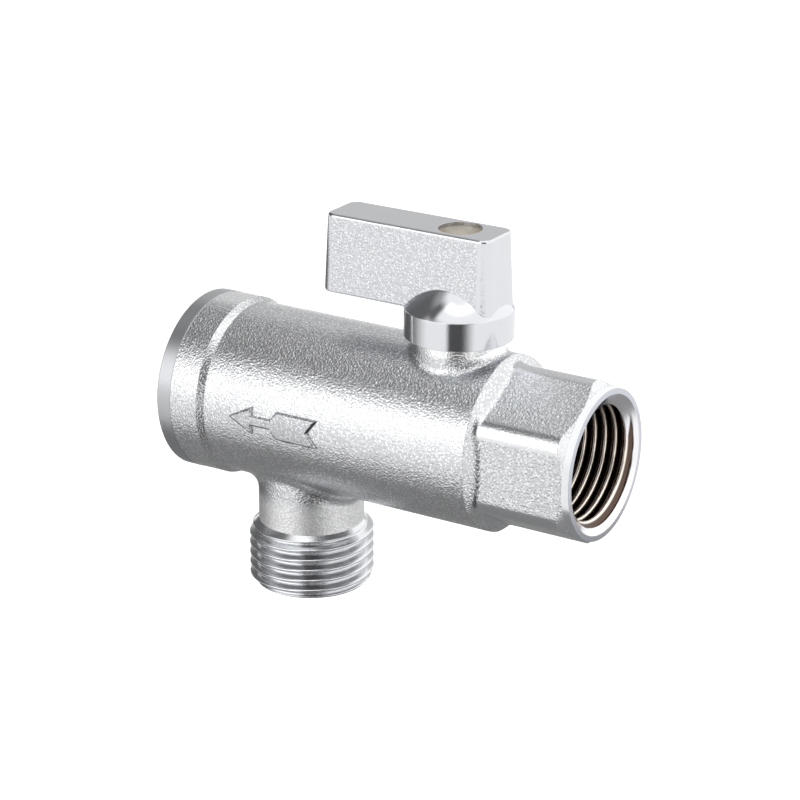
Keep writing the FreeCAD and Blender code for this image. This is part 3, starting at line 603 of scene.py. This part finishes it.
def copied_surface(node, name, material, keep, change):
    """Copy of a CAD node's mesh with its normals, both as change() gives them, without the faces
    that keep() leaves out."""
    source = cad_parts[node].data
    count = len(source.vertices)
    points = np.empty(count * 3)
    source.vertices.foreach_get("co", points)
    points = points.reshape(-1, 3) / MM
    normals = np.array([corner.vector[:] for corner in source.corner_normals])
    moved, normals = change(points, normals, [loop.vertex_index for loop in source.loops])
    kept_faces, kept_normals = [], []
    for polygon in source.polygons:
        face = tuple(polygon.vertices)
        if keep(points[list(face)]):
            kept_faces.append(face)
            kept_normals.extend(normals[list(polygon.loop_indices)])
    mesh = bpy.data.meshes.new(name)
    mesh.from_pydata([tuple(point * MM) for point in moved], [], kept_faces)
    mesh.materials.append(material)
    mesh.shade_smooth()
    mesh.normals_split_custom_set([tuple(normal) for normal in kept_normals])
    piece = bpy.data.objects.new(name, mesh)
    bpy.context.scene.collection.objects.link(piece)
    return piece


def outside_threads(points):
    """True for a face that isn't part of a threaded surface. points are its corners."""
    x, y, z = points[:, 0], points[:, 1], points[:, 2]
    from_branch = np.hypot(x - BRANCH_X, y)
    on_branch = np.all(np.abs(from_branch - branch_limit(-z)) < 0.03) and np.all(z < -20.99)
    from_axis = np.hypot(y, z)
    off_inlet = np.abs(from_axis - inlet_limit(x - INLET_INNER_X))
    on_inlet = np.all(off_inlet < 0.03) and np.all(x > INLET_INNER_X - 0.01)
    off_outlet = np.abs(from_axis - outlet_limit(OUTLET_INNER_X - x))
    on_outlet = np.all(off_outlet < 0.03) and np.all(x < OUTLET_INNER_X + 0.01)
    return not (on_branch or on_inlet or on_outlet)


casting = copied_surface("valve_body", "valve_casting", casting_look, outside_threads, sharper_corners)
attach(casting, "valve")
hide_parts("valve_body")


# Materials of the CAD nodes that stay

NODE_LOOKS = {
    "ball": ball_look,
    "inlet_seat": seat_look,
    "outlet_seat": seat_look,
    "seat_retainer": brass_look,
    "stem": brass_look,
    "stem_thrust_washer": seat_look,
    "stem_ring_lower": rubber_look,
    "stem_ring_upper": rubber_look,
    "handle": handle_look,
    "handle_screw": screw_look,
    "screw_spring_washer": screw_look,
}
for node, look in NODE_LOOKS.items():
    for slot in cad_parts[node].material_slots:
        slot.material = look


# Camera, fitted to the photograph

AZIMUTH, ELEVATION, ROLL = math.radians(31.8), math.radians(20.6), math.radians(0.2)
DISTANCE = 425.0
MIDDLE_X, SHIFT_RIGHT, SHIFT_UP = -41.3, 4.2, 2.1
LENS_MM, SENSOR_MM = 117.05, 36.0

back = Vector((
    math.sin(AZIMUTH) * math.cos(ELEVATION),
    -math.cos(AZIMUTH) * math.cos(ELEVATION),
    math.sin(ELEVATION),
))
level = Vector((math.cos(AZIMUTH), math.sin(AZIMUTH), 0))
upward = back.cross(level)
right = level * math.cos(ROLL) + upward * math.sin(ROLL)
top = upward * math.cos(ROLL) - level * math.sin(ROLL)
target = Vector((MIDDLE_X, 0, 0)) + SHIFT_RIGHT * right + SHIFT_UP * top
position = target + DISTANCE * back

lens = bpy.data.cameras.new("camera")
lens.lens = LENS_MM
lens.sensor_width = SENSOR_MM
lens.clip_start = 0.01
lens.clip_end = 50.0
camera = bpy.data.objects.new("camera", lens)
turn = Matrix((right, top, back)).transposed().to_4x4()
camera.matrix_world = Matrix.Translation(position * MM) @ turn
bpy.context.scene.collection.objects.link(camera)
bpy.context.scene.camera = camera


# Floor, and dark cards under the valve that only its reflections show

FLOOR_Z = -300.0
FLOOR_HALF = 20000.0
CARD_Z = -100.0
CARD_CENTRE_X = -40.0
DEGREES = 180 / math.pi


def stage_piece(name, points, faces, material):
    """Flat piece of the studio, from points in millimetres."""
    mesh = bpy.data.meshes.new(name)
    mesh.from_pydata([tuple(MM * value for value in point) for point in points], [], faces)
    mesh.materials.append(material)
    piece = bpy.data.objects.new(name, mesh)
    bpy.context.scene.collection.objects.link(piece)
    return piece


def floor_material():
    """Matt floor that keeps the shadow, and is white to the camera and in reflections."""
    material, nodes, shader = new_material("floor_white")
    shader.inputs["Base Color"].default_value = (0.9, 0.9, 0.9, 1)
    shader.inputs["Roughness"].default_value = 0.9
    shader.inputs["Specular IOR Level"].default_value = 0.0
    paths = nodes.add("ShaderNodeLightPath")
    to_camera = nodes.times(paths.outputs["Is Camera Ray"], 0.45)
    to_metal = nodes.times(paths.outputs["Is Glossy Ray"], 0.26)
    shader.inputs["Emission Color"].default_value = (1, 1, 1, 1)
    nodes.link(nodes.highest(to_camera, to_metal), shader.inputs["Emission Strength"])
    return material


def card_material(name, grey, fades):
    """Matt card. fades gives the azimuths over which it goes from clear to full at its two sides."""
    material, nodes, shader = new_material(name)
    shader.inputs["Base Color"].default_value = (grey, grey, grey, 1)
    shader.inputs["Roughness"].default_value = 0.9
    if fades:
        x, y = nodes.place()[1:3]
        around = nodes.math("ARCTAN2", nodes.math("SUBTRACT", x, CARD_CENTRE_X), nodes.times(y, -1.0))
        around = nodes.times(around, DEGREES)
        first, full, falling, last = fades
        share = nodes.times(nodes.step(around, first, full), nodes.step(around, last, falling))
        nodes.link(share, shader.inputs["Alpha"])
    return material


stage_piece("floor", [
    (-FLOOR_HALF, -FLOOR_HALF, FLOOR_Z), (FLOOR_HALF, -FLOOR_HALF, FLOOR_Z),
    (FLOOR_HALF, FLOOR_HALF, FLOOR_Z), (-FLOOR_HALF, FLOOR_HALF, FLOOR_Z)],
    [(0, 1, 2, 3)], floor_material())


def card(name, first, last, near, far, grey, fades=None, level=CARD_Z):
    """Level card under the valve, between two azimuths from -Y towards +X and two distances."""
    turns = np.radians(np.linspace(first, last, 13))
    points = [(CARD_CENTRE_X + distance * math.sin(turn), -distance * math.cos(turn), level)
              for turn in turns for distance in (near, far)]
    faces = [(2 * i, 2 * i + 1, 2 * i + 3, 2 * i + 2) for i in range(len(turns) - 1)]
    piece = stage_piece(name, points, faces, card_material(name, grey, fades))
    piece.visible_camera = False
    piece.visible_diffuse = False
    piece.visible_shadow = False
    piece.visible_transmission = False
    return piece


card("card_front", 2, 68, 50, 480, 0.06, (3, 15, 35, 67), CARD_Z + 2)
card("card_left", -150, -30, 151, 520, 0.15, (-149, -125, -88, -31))
# The cards under and behind the valve are painted shadow: they stand in for its shadow on the floor, as
# seen in its reflections.
card("card_under_painted_shadow", -180, 180, 0.1, 150, 0.28)
card("card_behind_painted_shadow", 115, 225, 151, 240, 0.4)

# World: a grey room with soft panels. Directions are azimuth from -Y towards +X, and height.

world = bpy.data.worlds.new("studio")
bpy.context.scene.world = world
world.use_nodes = True
sky = Nodes(world.node_tree)
direction = sky.add("ShaderNodeSeparateXYZ")
sky.link(sky.add("ShaderNodeTexCoord").outputs["Generated"], direction.inputs[0])
azimuth = sky.math("ARCTAN2", direction.outputs["X"], sky.times(direction.outputs["Y"], -1.0))
azimuth = sky.times(azimuth, DEGREES)
height = sky.times(sky.math("ARCSINE", direction.outputs["Z"]), DEGREES)


def panel(low_azimuth, high_azimuth, low_height, high_height, strength):
    """Strength of one soft panel in the world. Its edges fade over 16 degrees."""
    soft = 8.0
    return sky.times(sky.inside(azimuth, low_azimuth, high_azimuth, soft),
                     sky.inside(height, low_height, high_height, soft), strength)


PANELS = [
    (-50, 10, -30, 36, 1.45),
    (-56, 10, -10, 40, 0.7),
    (64, 200, -30, 45, 1.4),
    (-35, 200, 45, 74, 1.3),
    (-200, -128, -30, 60, 0.65),
    (-130, -60, 52, 68, 0.33),
    (-400, 400, 67, 120, 1.3),
]
light = 0.19
for values in PANELS:
    light = sky.math("ADD", light, panel(*values))
background = sky.add("ShaderNodeBackground")
sky.link(light, background.inputs["Strength"])
world_output = sky.add("ShaderNodeOutputWorld")
sky.link(background.outputs[0], world_output.inputs["Surface"])

view = bpy.context.scene.view_settings
view.view_transform = "Standard"
